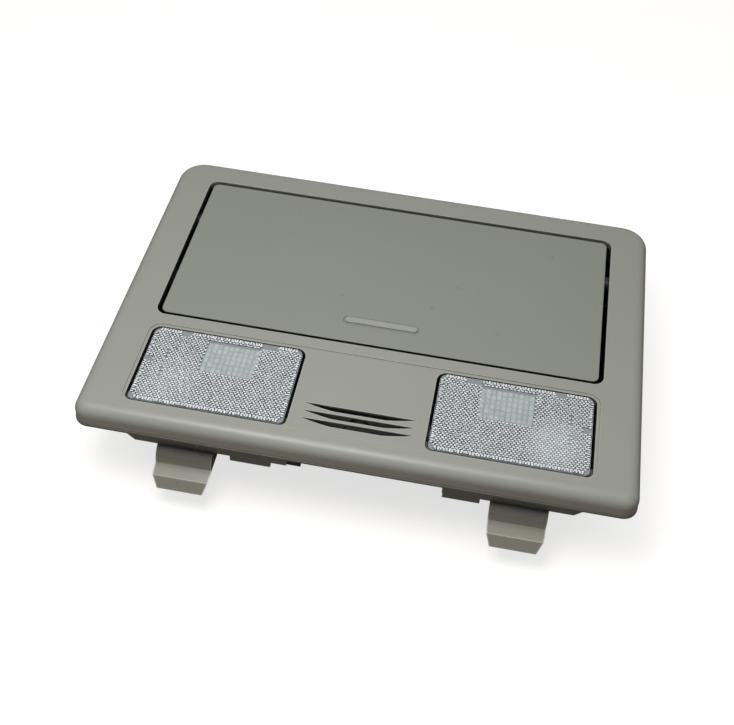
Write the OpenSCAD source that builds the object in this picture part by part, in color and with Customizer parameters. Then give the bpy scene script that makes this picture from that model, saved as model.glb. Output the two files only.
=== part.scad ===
// Overhead dome light console of a car: two press-to-switch map lamps, a microphone grille
// and a damped sunglasses bin in one panel. It lies on the flat bottom of the bin housing
// with its face up. Drawn round the middle of the door opening, with the face at z = 0.

/* [Face panel] */
// Width of the door opening
open_w = 174; // [170:1:180]
// Depth of the door opening, from hinge side to lamp side
open_d = 84; // [82:1:88]
// Corner radius of the door opening
open_r = 4; // [3:0.5:6]
// Panel outside the door opening at each side
side_rim = 15.4; // [15:0.2:18]
// Panel behind the door opening
rear_rim = 13.1; // [12.8:0.1:16]
// Bar between the door opening and the lamps
bridge_d = 6.5; // [6.2:0.1:8]
// Panel in front of the lamps
front_rim = 8.4; // [8:0.2:10]
// Thickness of the face
face_t = 2.4; // [2:0.1:2.8]
// Height of the lip round the panel
lip_h = 9.1; // [8.5:0.1:10]
// Thickness of the lip
lip_t = 2; // [1.6:0.1:2.4]
// Radius of the edge between face and lip
edge_r = 4.5; // [3.5:0.1:4.6]
// Corner radius at the lamp side, seen from above
front_corner_r = 5.4; // [5:0.2:7]
// Corner radius at the hinge side, seen from above
rear_corner_r = 11; // [9:0.5:13]
// Height of the bead at the foot of the lip
bead_h = 0.9; // [0.6:0.1:1.4]
// How far the bead stands out of the lip
bead_out = 0.25; // [0.1:0.05:0.4]

/* [Lamp windows] */
// Panel between the two lamps
mid_w = 50.3; // [49:0.5:56]
// How far the lamps end short of the door opening at each side
window_inset = 1.8; // [1.4:0.2:4]
// Depth of a lamp window
window_d = 38.5; // [37:0.5:42]
// Rear corner radius of a lamp window
window_r = 3.8; // [3:0.2:5]
// Front corner radius of a lamp window
window_front_r = 2.6; // [2:0.2:4]
// How far the lamp area is let in
lamp_recess = 0.3; // [0.2:0.1:0.5]
// How far the let-in area reaches past the windows
lamp_border = 1.3; // [0.8:0.1:1.6]

/* [Microphone slots] */
// Number of slots
slot_count = 3; // [2:1:3]
// Length of a slot between its points
slot_l = 41.4; // [36:0.2:42]
// Distance from slot to slot
slot_pitch = 3.68; // [3.4:0.02:4]
// Width of a slot at its middle
slot_w = 2.3; // [1.8:0.1:2.5]
// First slot behind the front edge of the windows
slot_back = 12.7; // [12.5:0.1:13.5]
// Thickness of the face at the slots
slot_web = 1; // [0.8:0.1:1.4]

/* [Door and tray] */
// Gap between door and opening at each side
door_gap_x = 2; // [1.8:0.1:2.4]
// Gap between door and opening at the hinge side
door_gap_y = 1.9; // [1.7:0.1:2.2]
// Gap between door and opening at the lamp side
door_gap_front = 1.3; // [1.2:0.1:1.9]
// Thickness of the door
door_t = 2.4; // [2:0.1:2.6]
// Thickness of the door's front edge, whose underside slopes away
door_edge_t = 0.6; // [0.5:0.1:1]
// Hinge axis in front of the rear edge of the opening
hinge_back = 19.7; // [19:0.1:21]
// Hinge axis below the face
hinge_drop = 6.6; // [6.6:0.1:7]
// Radius of the hinge pins
pin_r = 1.5; // [1.3:0.05:1.7]
// Radius of the hinge bosses
boss_r = 3; // [2.8:0.1:3.4]
// Running clearance of pins, shafts and plungers
run_fit = 0.05; // [0.03:0.01:0.08]
// Side walls of the tray inside the edge of the door
tray_inset = 5.4; // [5.2:0.1:6]
// Thickness of the tray walls
tray_t = 1.6; // [1.4:0.1:2]
// Depth of the tray behind the door
tray_h = 27; // [24:1:28]
// Clearance of the tray's curved front wall to the opening
swing_gap = 2.2; // [2:0.1:2.6]
// Rear wall of the tray behind the hinge axis
tray_back = 8; // [6:0.5:9]
// Length of the push bar on the door
bar_l = 28.4; // [24:0.4:32]
// Width of the push bar
bar_w = 2.8; // [2.4:0.2:3.6]
// Height of the push bar
bar_h = 0.4; // [0.3:0.1:0.6]
// Width of the groove round the push bar
bar_groove_w = 0.8; // [0.6:0.1:1]
// Depth of the groove round the push bar
bar_groove_d = 0.3; // [0.2:0.1:0.5]
// Middle of the push bar behind the front edge of the opening
bar_back = 12.9; // [11:0.2:14]
// Thickness of the tray liner
mat_t = 1; // [0.8:0.1:1.4]

/* [Bin housing] */
// Depth of the housing behind the face
house_h = 44; // [43:0.5:48]
// Wall thickness of the housing
house_t = 2.4; // [2:0.1:2.6]
// Space between housing and opening at each side
house_side = 1.6; // [1.5:0.1:2.2]
// Corner radius of the housing, seen from above
house_r = 6; // [5:0.5:8]
// Edge radius at the floor of the housing
house_edge_r = 3; // [2.5:0.5:4]

/* [Damper and latch] */
// Module of the damper teeth
tooth_m = 0.8; // [0.75:0.05:0.8]
// Pitch radius of the tray's toothed sector in teeth of a full circle
sector_teeth = 50; // [48:1:50]
// Teeth of the damper gear
gear_teeth = 14; // [13:1:14]
// Width of the teeth
tooth_w = 2.2; // [1.8:0.1:2.4]
// Play between the teeth
tooth_play = 0.3; // [0.25:0.05:0.4]
// Radius of the damper
damper_r = 7; // [6:0.5:8]
// Thickness of the damper
damper_h = 4.5; // [4:0.5:6]
// Width of the latch
latch_w = 14; // [12:0.5:16]
// Height of the lower end of the latch over the floor of the housing
latch_h = 5.4; // [4.8:0.2:8]

/* [Lenses] */
// Thickness of a lens
lens_t = 2.2; // [1.8:0.1:2.4]
// Gap round a lens at the sides
lens_gap_x = 1.2; // [1:0.1:1.3]
// Gap round a lens at front and rear
lens_gap_y = 0.6; // [0.5:0.05:0.8]
// Radius of a lens pivot
pivot_r = 1.1; // [1:0.05:1.2]
// Pivot of a lens behind its front edge
pivot_back = 2.4; // [2.2:0.1:3]
// Pivot of a lens below the face
pivot_drop = 4; // [3.8:0.1:4.4]

/* [Lamp carrier] */
// Wall thickness of the lamp carrier
case_t = 1.5; // [1.3:0.1:1.8]
// Depth of the lamp boxes behind the face
case_h = 20.8; // [20.4:0.2:22]
// Depth of the shallow middle behind the face
mid_h = 14; // [13.5:0.1:15]
// Space between a window and the walls of its lamp box
case_gap = 0.3; // [0.2:0.05:0.5]
// Width of a front hook
hook_w = 21.3; // [18:0.5:23]
// Middle of a front hook from the middle of the panel
hook_x = 62.5; // [60:0.5:65]
// Reach of the hook tips in front of the panel
hook_reach = 4.9; // [4:0.1:6]
// Depth of the hook tips behind the face
hook_drop = 33; // [32:0.5:34]

/* [Bulbs and switches] */
// Radius of a bulb
bulb_r = 4.6; // [4.2:0.1:4.8]
// Length of a bulb's glass outside its holder
bulb_l = 19; // [16:0.5:22]
// Drop from the axis of a bulb to the floor of its lamp box
bulb_drop = 6.9; // [6.7:0.1:7.1]
// Radius of a bulb holder
holder_r = 6; // [5.6:0.1:6.2]
// Reach of a bulb holder into its lamp box
holder_l = 10.4; // [10:0.1:10.8]
// Width of a switch
switch_w = 12; // [10:0.5:13]
// Depth of a switch, front to rear
switch_d = 8; // [7:0.5:8]
// Height of a switch
switch_h = 8.5; // [8:0.1:9]
// Radius of a switch plunger
plunger_r = 1.8; // [1.6:0.1:2.1]
// Thickness of the brass strips
strip_t = 0.6; // [0.4:0.1:0.8]
// Width of the brass strips
strip_w = 2.4; // [2:0.1:2.6]

/* [Fixings] */
// Shank radius of the screws
screw_r = 1.4; // [1.2:0.05:1.6]
// Head radius of the screws
screw_head_r = 2.7; // [2.4:0.1:3]
// Radius of the screw posts
post_r = 3.2; // [3:0.1:3.6]
// Thickness of the screw ears
ear_t = 2.4; // [2:0.1:2.8]
// Middle of a rear clip from the middle of the panel
clip_x = 48; // [40:1:60]
// Width of a rear clip
clip_w = 10; // [8:0.5:12]
// Height of a rear clip
clip_h = 15; // [13:0.5:18]
// Thickness of the spring steel
clip_t = 0.6; // [0.5:0.05:0.8]

/* [Hidden] */
$fn = 64;

// A cut that has to pass a surface goes this far beyond it
past = 1;
// Gap between faces that pass each other
pass_gap = 0.3;

// Panel and openings, y forward is negative
open_y = open_d / 2;
win_y1 = -open_y - bridge_d;
win_y0 = win_y1 - window_d;
win_x0 = mid_w / 2;
win_x1 = open_w / 2 - window_inset;
bez_w = open_w + 2 * side_rim;
bez_y0 = win_y0 - front_rim;
bez_y1 = open_y + rear_rim;
hook_y = bez_y0 - hook_reach;

// The part stands in the middle of its box, on the floor of the bin housing
seat_y = -(hook_y + bez_y1 + bead_out) / 2;

// Door, hinge and tray
door_w = open_w - 2 * door_gap_x;
door_y0 = -open_y + door_gap_front;
door_y1 = open_y - door_gap_y;
door_r = open_r - 0.7 * door_gap_x;
bar_y = -open_y + bar_back;
bar_r = bar_w / 2 - 0.2;
hinge_y = open_y - hinge_back;
swing_r = hinge_y + open_y - swing_gap;
tray_x = door_w / 2 - tray_inset;
tray_z = -door_t - tray_h;
base_z = -door_t - tray_t;
ear_x1 = door_w / 2 - 0.4;
ear_x0 = ear_x1 - ear_t;
ear_r = boss_r + 1;
screw_web = 6;
mat_x = tray_x - screw_web - screw_head_r - 1;

// Housing
house_x = open_w / 2 + house_side;
house_w = 2 * (house_x + house_t);
house_y0 = -open_y - 0.2;
house_y1 = open_y + 1;
floor_z = house_t - house_h;
side_ear_x = house_x + house_t + screw_head_r + 1.7;
side_ear_y = [-31, 10, 34];
ear_half = post_r + 0.6;
gusset_t = 1;
side_ear_z = -7.4;

rib_out = 1.2;
rib_count = 3;
rib_pitch = 21;

// Rubber stops behind the tray
bumper_x = 52;
bumper_r = 2.6;
bumper_t = 1.4;
bumper_y = hinge_y + tray_back + pass_gap;
bumper_z = tray_z + bumper_r;

// Damper
sector_r = sector_teeth * tooth_m / 2;
gear_r = gear_teeth * tooth_m / 2;
mesh_a = 50;
gear_y = hinge_y - (sector_r + gear_r) * sin(mesh_a);
gear_z = -hinge_drop - (sector_r + gear_r) * cos(mesh_a);
open_a = 60;
sector_x1 = ear_x0 - 0.2;
sector_x0 = sector_x1 - tooth_w;
gear_shaft_r = 1.5;
damper_neck_r = 4;

// Latch in a bay of the tray's front wall
bay_r = swing_r - 5.6;
bay_x = latch_w / 2 + 1.5;
latch_y0 = house_y0;
latch_y1 = latch_y0 + 5.2;
striker_x = 2.6;
striker_z = base_z - 3;
latch_z1 = striker_z - 5.2;
latch_z0 = floor_z + latch_h;

// Lens and its pivot
lens_x0 = win_x0 + lens_gap_x;
lens_x1 = win_x1 - lens_gap_x;
lens_y0 = win_y0 + lens_gap_y;
lens_y1 = win_y1 - lens_gap_y;
pivot_y = lens_y0 + pivot_back;
skirt_t = 2.4;

// Lamp boxes
box_x0 = win_x0 - case_gap;
box_x1 = win_x1 + case_gap;
box_y0 = win_y0 - case_gap;
box_y1 = win_y1 + case_gap;
box_z = case_t - case_h;
notch_y = box_y0 + 9.5;
hook_back_y = box_y0 + 4;
notch_z = box_z + 3.9;
bulb_z = box_z + bulb_drop;
corner_cut = 4.9;
carrier_ear_x = box_x1 + case_t + screw_head_r + 3;
carrier_ear_y = win_mid_y();
mid_post_x = 16;
mid_post_y = box_y1 - 6;

// Switch under the rear of each lens
switch_x = win_x0 + 13.9;
switch_y = lens_y1 - 4.3;
switch_z = box_z + switch_h;
plunger_z = -6.4;
press_z = plunger_z + pass_gap;

// Bulb, holder and reflector
refl_t = 1;
refl_half = 12.6;
refl_top = bulb_z + holder_r + 0.4;
refl_bottom = box_z + 0.1;
bulb_y = switch_y - switch_d / 2 - pass_gap - refl_half - refl_t;
holder_x0 = box_x0 - case_t - 1.5;
holder_x1 = box_x0 + holder_l;
refl_x0 = holder_x1 + 0.1;
refl_x1 = box_x1 - 6;
flange_r = holder_r + 0.4;
base_half = 4;
base_x1 = holder_x1 - 2;
socket_l = 7;

// Plug under the left lamp box
plug_x0 = -win_x0 - 12.6;
plug_x1 = -win_x0 + 4.4;
plug_y0 = win_y0 + 7;
plug_y1 = plug_y0 + 9.6;
plug_z = -case_h - 10.6;
pin_xs = [plug_x0 + 4.6, plug_x0 + 7.2, plug_x1 - 5.6, plug_x1 - 3];
pin_y = plug_y0 + 2.2;
ground_x = pin_xs[3];
live_x = pin_xs[0];
live_turn_x = -switch_x - switch_w / 2 - 2;
live_y = switch_y + 1.4;
prong_w = 1.6;

// Microphone
mic_r = 4.85;
mic_h = 5;
boot_y = win_y0 + slot_back - (slot_count - 1) * slot_pitch / 2 - slot_w / 2;
boot_w = slot_l + 1.4;
boot_d = 13.4;
boot_t = 1.2;
slot_pocket_x = boot_w / 2 - boot_t - pass_gap;
slot_pocket_y = boot_d / 2 - boot_t - pass_gap;

// Rear clips
clip_post_t = 3;
clip_y = (open_y + 1 + house_t + bez_y1 - lip_t) / 2;

function win_mid_y() = (win_y0 + win_y1) / 2;

// Points of a round arc, counted from the start angle to the end angle
function arc(y, z, r, a0, a1, n = 12) =
  [for (i = [0:n]) [y + r * cos(a0 + (a1 - a0) * i / n), z + r * sin(a0 + (a1 - a0) * i / n)]];

// Everything is moved from the face's own zero to the floor that the part lies on
module seat() {
  translate([0, seat_y, house_h]) children();
}

module block(x0, x1, y0, y1, z0, z1) {
  translate([x0, y0, z0]) cube([x1 - x0, y1 - y0, z1 - z0]);
}

// Turns a drawing in y and z into a slab that runs along x
module along_x(x0, x1) {
  translate([x0, 0, 0]) rotate([90, 0, 90]) linear_extrude(x1 - x0) children();
}

module rod_x(x0, x1, y, z, r) {
  translate([x0, y, z]) rotate([0, 90, 0]) cylinder(h = x1 - x0, r = r);
}

module rod_y(x, z, y0, y1, r) {
  translate([x, y0, z]) rotate([-90, 0, 0]) cylinder(h = y1 - y0, r = r);
}

module rod_z(x, y, z0, z1, r) {
  translate([x, y, z0]) cylinder(h = z1 - z0, r = r);
}

module both_sides() {
  children();
  mirror([1, 0, 0]) children();
}

// Flat outline with its own corner radius at the front and at the rear
module outline(w, y0, y1, r0, r1) {
  translate([-w / 2 + r0, y0]) square([w - 2 * r0, r0 + past / 2]);
  translate([-w / 2 + r1, y1 - r1 - past / 2]) square([w - 2 * r1, r1 + past / 2]);
  translate([-w / 2, y0 + r0]) square([w, y1 - y0 - r0 - r1]);
  for (side = [-1, 1]) {
    translate([side * (w / 2 - r0), y0 + r0]) circle(r0);
    translate([side * (w / 2 - r1), y1 - r1]) circle(r1);
  }
}

module outline_at(x0, x1, y0, y1, r) {
  translate([(x0 + x1) / 2, 0]) outline(x1 - x0, y0, y1, r, r);
}

module slab(x0, x1, y0, y1, r, z0, z1) {
  translate([0, 0, z0]) linear_extrude(z1 - z0) outline_at(x0, x1, y0, y1, r);
}

// Solid with a flat top at z = 0 and a rounded upper edge
module pillow(w, y0, y1, r0, r1, h, e) {
  translate([0, 0, -h]) linear_extrude(h - e) outline(w, y0, y1, r0, r1);
  translate([0, 0, -e]) linear_extrude(e) outline(w - 2 * e, y0 + e, y1 - e, r0 - e, r1 - e);
  along_x(-w / 2 + r0, w / 2 - r0) translate([y0 + e, -e]) mirror([1, 0]) edge_round(e);
  along_x(-w / 2 + r1, w / 2 - r1) translate([y1 - e, -e]) edge_round(e);
  both_sides() {
    translate([w / 2 - e, y1 - r1, -e]) rotate([90, 0, 0]) linear_extrude(y1 - y0 - r0 - r1) edge_round(e);
    translate([w / 2 - r0, y0 + r0, -e]) rotate([0, 0, 270]) corner_round(r0, e);
    translate([w / 2 - r1, y1 - r1, -e]) corner_round(r1, e);
  }
}

// Quarter disc
module edge_round(e) {
  intersection() {
    circle(e);
    square(e);
  }
}

// Quarter turn of a rounded edge
module corner_round(r, e) {
  rotate_extrude(angle = 90) {
    square([r - e, e]);
    translate([r - e, 0]) edge_round(e);
  }
}

// Slab with the corners of a lamp window, less an inset
module window_slab(x0, x1, y0, y1, inset, z0, z1) {
  translate([(x0 + x1) / 2, 0, z0]) linear_extrude(z1 - z0)
    outline(x1 - x0, y0, y1, window_front_r - inset, window_r - inset);
}

// Grey moulded face with the rolled lip
module bezel() {
  color([0.56, 0.55, 0.51]) seat() difference() {
    union() {
      difference() {
        bezel_skin();
        bezel_hollow();
      }
      bezel_posts();
    }
    slab(-open_w / 2, open_w / 2, -open_y, open_y, open_r, -face_t - past, past);
    both_sides() window_slab(win_x0, win_x1, win_y0, win_y1, 0, -face_t - past, past);
    window_slab(-win_x1 - lamp_border, win_x1 + lamp_border, win_y0 - 0.4, win_y1 + lamp_border,
      -lamp_border, -lamp_recess, past);
    block(-slot_pocket_x, slot_pocket_x, boot_y - slot_pocket_y, boot_y + slot_pocket_y,
      -face_t - past, -lamp_recess - slot_web);
    for (i = [0:slot_count - 1]) mic_slot(i);
    bezel_post_bores();
  }
}

module bezel_skin() {
  pillow(bez_w, bez_y0, bez_y1, front_corner_r, rear_corner_r, lip_h, edge_r);
  translate([0, 0, -lip_h]) linear_extrude(bead_h)
    outline(bez_w + 2 * bead_out, bez_y0 - bead_out, bez_y1 + bead_out,
      front_corner_r + bead_out, rear_corner_r + bead_out);
}

module bezel_hollow() {
  translate([0, 0, -lip_h - past]) linear_extrude(lip_h + past - face_t)
    outline(bez_w - 2 * lip_t, bez_y0 + lip_t, bez_y1 - lip_t,
      front_corner_r - lip_t, rear_corner_r - lip_t);
}

// A slot has a nearly straight rear edge and a bowed front edge that is cut flat
module mic_slot(i) {
  half = slot_l / 2;
  bow = slot_w + 0.6;
  bow_r = (half * half + bow * bow) / (2 * bow);
  rear_y = win_y0 + slot_back - i * slot_pitch;
  translate([0, rear_y, -face_t - past]) linear_extrude(face_t + 2 * past) intersection() {
    translate([0, bow_r - bow]) circle(bow_r, $fn = 720);
    translate([-half - past, -slot_w]) square([slot_l + 2 * past, slot_w]);
  }
}

module bezel_posts() {
  both_sides() {
    for (y = side_ear_y) rod_z(side_ear_x, y, side_ear_z, -face_t / 2, post_r);
    rod_z(carrier_ear_x, carrier_ear_y, side_ear_z, -face_t / 2, post_r);
    rod_z(mid_post_x, mid_post_y, case_t - mid_h, -face_t / 2, post_r);
    block(clip_x - clip_w / 2, clip_x + clip_w / 2, clip_y - clip_post_t / 2,
      clip_y + clip_post_t / 2, -clip_h, -face_t / 2);
  }
}

module bezel_post_bores() {
  both_sides() {
    for (y = side_ear_y) rod_z(side_ear_x, y, side_ear_z - past, -face_t, screw_r);
    rod_z(carrier_ear_x, carrier_ear_y, side_ear_z - past, -face_t, screw_r);
    rod_z(mid_post_x, mid_post_y, -mid_h, -face_t - past, screw_r);
  }
}

// Flat door panel with the push bar
module glasses_door() {
  color([0.5, 0.51, 0.46]) seat() difference() {
    union() {
      difference() {
        slab(-door_w / 2, door_w / 2, door_y0, door_y1, door_r, -door_t, 0);
        push_bar(bar_groove_w, -bar_groove_d, past);
      }
      push_bar(0, -door_t / 2, bar_h);
    }
    door_front_slope();
    door_screw_places() rod_z(0, 0, -door_t - past, -door_t / 3, screw_r);
  }
}

// Push bar, or the hole for its groove when it is grown
module push_bar(grown, z0, z1) {
  slab(-bar_l / 2 - grown, bar_l / 2 + grown, bar_y - bar_w / 2 - grown, bar_y + bar_w / 2 + grown,
    bar_r + grown, z0, z1);
}

// Cut that leaves the front edge of the door thin
module door_front_slope() {
  run = door_t * (door_t + past - door_edge_t) / (door_t - door_edge_t);
  along_x(-door_w / 2 - past, door_w / 2 + past) polygon([[door_y0 - past, -door_edge_t],
    [door_y0, -door_edge_t], [door_y0 + run, -door_t - past], [door_y0 - past, -door_t - past]]);
}

// Four screws join the tray to the door, one near each corner
module door_screw_places() {
  for (side = [-1, 1]) {
    translate([side * (tray_x - screw_web), hinge_y - tray_t, 0]) children();
    translate([side * (tray_x - screw_web), door_y0 + 9, 0]) children();
  }
}

// Space swept by the tray's curved front wall, seen from the side
module tray_side_profile(inset) {
  intersection() {
    translate([hinge_y, -hinge_drop]) circle(swing_r - inset, $fn = 360);
    translate([door_y0 + 0.1, tray_z - past]) square([hinge_y + tray_back - inset - door_y0 - 0.1,
      past - door_t - tray_z]);
  }
}

module glasses_tray() {
  color([0.42, 0.43, 0.4]) seat() difference() {
    union() {
      difference() {
        tray_body();
        tray_hollow();
      }
      tray_ears();
      tray_sector();
      block(-striker_x, striker_x, latch_y0 + 2.7, latch_y1 - 0.4, striker_z, -door_t - tray_t / 2);
    }
    both_sides() rod_x(tray_x - tray_t - past, open_w / 2, hinge_y, -hinge_drop, pin_r + run_fit);
    door_screw_places() rod_z(0, 0, base_z - past, -door_t + past, screw_r);
  }
}

module tray_body() {
  difference() {
    intersection() {
      along_x(-tray_x, tray_x) tray_side_profile(0);
      block(-tray_x, tray_x, -open_y, open_y, tray_z, -door_t);
    }
    latch_bay(0);
  }
}

// The front wall steps back round the latch
module latch_bay(t) {
  difference() {
    block(-bay_x - t, bay_x + t, -open_y - past, hinge_y, tray_z - past, base_z);
    rod_x(-bay_x - t - past, bay_x + t + past, hinge_y, -hinge_drop, bay_r - t);
  }
}

module tray_hollow() {
  difference() {
    intersection() {
      along_x(-tray_x + tray_t, tray_x - tray_t) tray_side_profile(tray_t);
      block(-tray_x, tray_x, -open_y, open_y, tray_z - past, base_z);
    }
    latch_bay(tray_t);
  }
}

// Hinge ears stand outside the side walls and carry the bosses that show in the gap
module tray_ears() {
  both_sides() {
    difference() {
      rod_x(ear_x0, ear_x1, hinge_y, -hinge_drop, ear_r);
      block(ear_x0 - past, ear_x1 + past, -open_y, open_y, -door_t, past);
    }
    block(ear_x0, ear_x1, hinge_y - ear_r, hinge_y + ear_r, -hinge_drop, -door_t);
    block(tray_x - tray_t, ear_x1, hinge_y - ear_r, hinge_y + ear_r, base_z, -door_t);
    rod_x(ear_x0, door_w / 2 + 0.2, hinge_y, -hinge_drop, boss_r);
  }
}

// A toothed sector on the left side wall drives the damper
module tray_sector() {
  a0 = 270 - mesh_a - 12;
  a1 = 270 - mesh_a + open_a + 12;
  mirror([1, 0, 0]) difference() {
    union() {
      along_x(sector_x0, sector_x1) translate([hinge_y, -hinge_drop]) intersection() {
        gear_shape(sector_teeth, 0);
        polygon(concat([[0, 0]], arc(0, 0, 2 * sector_r, a0, a1)));
      }
      along_x(tray_x - tray_t / 2, sector_x1) translate([hinge_y, -hinge_drop]) intersection() {
        circle(sector_r - 2 * tooth_m);
        difference() {
          polygon(concat([[0, 0]], arc(0, 0, 2 * sector_r, a0, a1)));
          circle(sector_r - 5 * tooth_m);
        }
      }
    }
    block(0, open_w, -open_y, open_y, base_z, past);
  }
}

// Teeth with straight flanks, a little thinner than the gaps
module gear_shape(teeth, turn) {
  r = teeth * tooth_m / 2;
  root_r = r - 1.15 * tooth_m;
  tip_r = r + 0.75 * tooth_m;
  half_root = asin((PI * tooth_m / 4 - tooth_play / 4 + 1.15 * tooth_m * tan(20)) / r);
  half_tip = asin((PI * tooth_m / 4 - tooth_play / 4 - 0.75 * tooth_m * tan(20)) / r);
  circle(root_r, $fn = 180);
  for (i = [0:teeth - 1]) rotate(turn + i * 360 / teeth)
    polygon([[root_r * cos(half_root) - 0.2, -root_r * sin(half_root)],
      [tip_r * cos(half_tip), -tip_r * sin(half_tip)],
      [tip_r * cos(half_tip), tip_r * sin(half_tip)],
      [root_r * cos(half_root) - 0.2, root_r * sin(half_root)]]);
}

// Soft liner on the floor of the tray
module tray_mat() {
  color([0.2, 0.2, 0.2]) seat() difference() {
    block(-mat_x, mat_x, door_y0 + 7, hinge_y + tray_back - 2 * tray_t, base_z - mat_t, base_z);
    latch_bay(2 * tray_t);
  }
}

module door_screws() {
  color([0.7, 0.7, 0.7]) seat() door_screw_places() screw(base_z, -door_t / 3);
}

// Pan head below the seat, shank above it
module screw(z_seat, z_tip) {
  rod_z(0, 0, z_seat, z_tip, screw_r);
  difference() {
    rod_z(0, 0, z_seat - 1.6, z_seat, screw_head_r);
    for (turn = [0, 90]) rotate(turn)
      block(-screw_head_r / 2, screw_head_r / 2, -0.35, 0.35, z_seat - 1.6 - past, z_seat - 0.8);
  }
}

// Shell that the tray swings into
module bin_housing() {
  color([0.27, 0.27, 0.26]) seat() difference() {
    union() {
      difference() {
        housing_skin();
        slab(-house_x, house_x, house_y0, house_y1, house_r - house_t, floor_z, past);
      }
      housing_bosses();
      housing_ears();
      bumper_posts();
      housing_ribs();
    }
    block(-open_w, open_w, -open_d, open_d, -face_t, past);
    both_sides() rod_x(door_w / 2, house_x + house_t + past, hinge_y, -hinge_drop, pin_r);
    mirror([1, 0, 0]) rod_x(house_x - past, house_x + house_t + past, gear_y, gear_z, damper_neck_r);
    both_sides() for (y = side_ear_y) rod_z(side_ear_x, y, -house_h, 0, screw_r);
  }
}

module housing_skin() {
  translate([0, 0, -house_h]) mirror([0, 0, 1])
    pillow(house_w, house_y0 - house_t, house_y1 + house_t, house_r, house_r, house_h, house_edge_r);
}

// Bosses that reach into the gap beside the door and hold the hinge pins
module housing_bosses() {
  both_sides() rod_x(door_w / 2 + 0.8, house_x + house_t / 2, hinge_y, -hinge_drop, boss_r);
}

module housing_ears() {
  both_sides() for (y = side_ear_y) {
    rod_z(side_ear_x, y, side_ear_z - ear_t, side_ear_z, ear_half);
    block(house_x + house_t / 2, side_ear_x, y - ear_half, y + ear_half, side_ear_z - ear_t, side_ear_z);
    gusset(house_x + house_t / 2, side_ear_x, y, 9);
  }
}

// Gusset below a screw ear, beside the head of the screw
module gusset(x0, x1, y, h) {
  translate([0, y + ear_half, side_ear_z - ear_t]) rotate([90, 0, 0]) linear_extrude(gusset_t)
    polygon([[x0, 0], [x1, 0], [x0, -h]]);
}

// Posts on the rear wall carry the rubber stops of the tray
module bumper_posts() {
  both_sides() rod_y(bumper_x, bumper_z, bumper_y + bumper_t, house_y1 + house_t / 2, bumper_r + 0.6);
}

// Upright ribs stiffen the rear wall
module housing_ribs() {
  for (i = [-rib_count:rib_count]) block(i * rib_pitch - 0.7, i * rib_pitch + 0.7,
    house_y1 + house_t / 2, house_y1 + house_t + rib_out, house_edge_r - house_h, -face_t);
}

module bumper() {
  color([0.09, 0.09, 0.09]) rod_y(bumper_x, bumper_z, bumper_y, bumper_y + bumper_t, bumper_r);
}

module hinge_pin() {
  color([0.78, 0.78, 0.78])
    rod_x(tray_x - tray_t - 0.5, house_x + house_t - 0.2, hinge_y, -hinge_drop, pin_r);
}

// Torsion spring round the right pin, one leg on the tray and one on the housing wall
module door_spring() {
  wire_r = 0.35;
  coil_r = pin_r + 0.15 + wire_r;
  turns_w = ear_x0 - tray_x - 2 * pass_gap;
  foot_z = floor_z / 2;
  color([0.7, 0.71, 0.72]) seat() {
    for (i = [0:1])
      translate([tray_x + pass_gap + wire_r + i * (turns_w - 2 * wire_r), hinge_y, -hinge_drop])
      rotate([0, 90, 0]) rotate_extrude() translate([coil_r, 0]) circle(wire_r, $fn = 16);
    translate([tray_x + pass_gap + wire_r, hinge_y + coil_r, -hinge_drop]) rotate([0, 90, 0])
      cylinder(h = turns_w - 2 * wire_r, r = wire_r, $fn = 16);
    rod_z(ear_x0 - pass_gap - wire_r, hinge_y + coil_r, foot_z, -hinge_drop, wire_r);
    rod_x(ear_x0 - pass_gap - 2 * wire_r, house_x, hinge_y + coil_r, foot_z, wire_r);
  }
}

// Oil damper snapped into the left wall of the housing
module damper_body() {
  color([0.08, 0.08, 0.08]) seat() mirror([1, 0, 0]) difference() {
    union() {
      rod_x(house_x + house_t, house_x + house_t + damper_h, gear_y, gear_z, damper_r);
      rod_x(house_x, house_x + house_t, gear_y, gear_z, damper_neck_r);
      block(house_x + house_t, house_x + house_t + 1.6, gear_y - 2.5, gear_y + 2.5,
        gear_z - damper_r - 3, gear_z + damper_r + 3);
    }
    rod_x(house_x - past, house_x + house_t + damper_h / 2, gear_y, gear_z, gear_shaft_r + run_fit);
  }
}

module damper_gear() {
  // a gap of the gear faces a tooth of the sector along the line between the two axes
  turn = 90 - mesh_a + 180 / gear_teeth * ((270 - mesh_a) * sector_teeth / 360 % 1 * 2 - 1);
  color([0.85, 0.84, 0.8]) seat() mirror([1, 0, 0]) {
    along_x(sector_x0, sector_x1) translate([gear_y, gear_z]) gear_shape(gear_teeth, turn);
    rod_x(sector_x0, house_x - pass_gap, gear_y, gear_z, gear_r - 3 * tooth_m);
    rod_x(sector_x0, house_x + house_t + damper_h / 2 - pass_gap, gear_y, gear_z, gear_shaft_r);
  }
}

// Push latch fixed to the front wall of the housing
module latch_body() {
  color([0.1, 0.1, 0.1]) seat() difference() {
    block(-latch_w / 2, latch_w / 2, latch_y0, latch_y1, latch_z0, latch_z1);
    latch_bore(run_fit);
  }
}

module latch_bore(gap) {
  block(-striker_x - 1 - gap, striker_x + 1 + gap, latch_y0 + 1.2 - gap, latch_y1 - 1.2 + gap,
    latch_z1 - 10 - gap, latch_z1 + past);
}

module latch_plunger() {
  color([0.88, 0.87, 0.83]) seat() {
    block(-striker_x - 1, striker_x + 1, latch_y0 + 1.2, latch_y1 - 1.2, latch_z1 - 10,
      striker_z - pass_gap);
  }
}

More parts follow.
